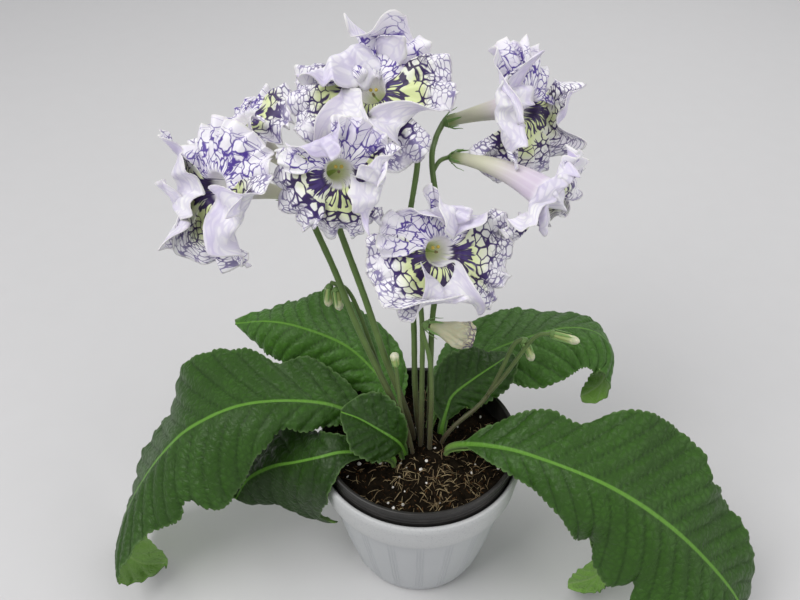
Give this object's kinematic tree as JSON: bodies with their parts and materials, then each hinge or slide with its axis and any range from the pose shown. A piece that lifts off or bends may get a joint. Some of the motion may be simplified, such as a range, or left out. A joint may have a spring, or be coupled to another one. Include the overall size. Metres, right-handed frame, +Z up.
{
  "type": "potted cape primrose",
  "caption": "Cape primrose in flower: a rosette of long wrinkled leaves, slim stalks with buds and ruffled netted blooms, in a nursery pot set in a pale tapered outer pot.",
  "frame": {"origin": "centre of the outer pot's foot, on the surface it stands on", "axes": "+Z up, +Y away from the viewer of the picture, +X to the viewer's right"},
  "size_m": [0.3861, 0.2201, 0.3081],
  "materials": {
    "outer_plastic": "pale grey satin plastic with fine ribs and a speckled collar",
    "nursery_plastic": "black satin plastic",
    "soil": "dark damp peat with straw-coloured fibres and white grains",
    "leaf": "matte quilted green with short hairs and a paler midrib",
    "stalk": "soft green, brown-purple near the soil, downy",
    "petal": "satin white and lime petals with a violet net",
    "faded_petal": "limp, dull cream petals"
  },
  "bodies": {
    "root": {"outer_pot": "outer_plastic", "nursery_pot": "nursery_plastic", "soil": "soil", "leaf_left": "leaf", "leaf_right": "leaf", "leaf_back_left": "leaf", "leaf_back_right": "leaf", "leaf_mid_right": "leaf", "leaf_front_small": "leaf", "leaf_lower_left": "leaf", "leaf_under_left": "leaf", "leaf_under_right": "leaf", "leaf_young": "leaf", "stalk_far_left": "stalk", "stalk_left": "stalk", "stalk_bud_left": "stalk", "stalk_centre_left": "stalk", "stalk_centre_right": "stalk", "stalk_centre": "stalk", "stalk_faded": "stalk", "stalk_small_bud": "stalk", "stalk_bud_right": "stalk", "bloom_left_front": "petal", "bloom_left_back": "petal", "bloom_middle": "petal", "bloom_top": "petal", "bloom_right_upper": "petal", "bloom_right_lower": "petal", "bloom_front": "petal", "bloom_faded": "faded_petal"}
  },
  "joints": []
}
